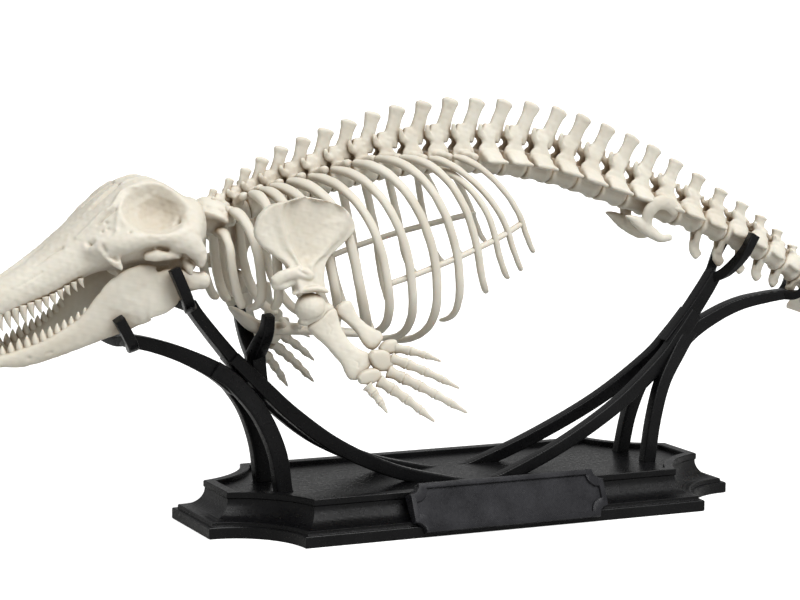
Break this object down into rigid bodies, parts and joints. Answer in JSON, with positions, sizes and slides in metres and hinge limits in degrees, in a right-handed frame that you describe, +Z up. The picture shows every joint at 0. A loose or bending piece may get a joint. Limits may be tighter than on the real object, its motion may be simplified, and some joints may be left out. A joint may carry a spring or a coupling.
{
  "type": "scale model of an orca skeleton on a display board",
  "caption": "Small ivory plastic orca skeleton, jaws open and tail swept down, held by two black branching stands on a moulded black board with a bare slanted plaque.",
  "frame": {"origin": "on the table, under the middle of the board", "axes": "+Z up, head towards -X, tail towards +X, the animal's left side and the plaque towards -Y"},
  "size_m": [0.3488, 0.1126, 0.1429],
  "materials": {
    "bone": "matte ivory, fine layer lines",
    "stand": "satin black, fine layer lines",
    "plaque": "satin black, bare"
  },
  "bodies": {
    "root": {"skull": "bone", "lower_jaw": "bone", "spine_neck": "bone", "spine_chest": "bone", "spine_loin": "bone", "spine_tail": "bone", "ribs_left": "bone", "ribs_right": "bone", "sternum": "bone", "scapula_left": "bone", "scapula_right": "bone", "humerus_left": "bone", "humerus_right": "bone", "radius_left": "bone", "radius_right": "bone", "ulna_left": "bone", "ulna_right": "bone", "hand_left": "bone", "hand_right": "bone", "pelvis_left": "bone", "pelvis_right": "bone", "fluke_left": "bone", "fluke_right": "bone", "stand_base": "stand", "stand_plaque": "plaque", "stand_front": "stand", "stand_rear": "stand"}
  },
  "joints": []
}
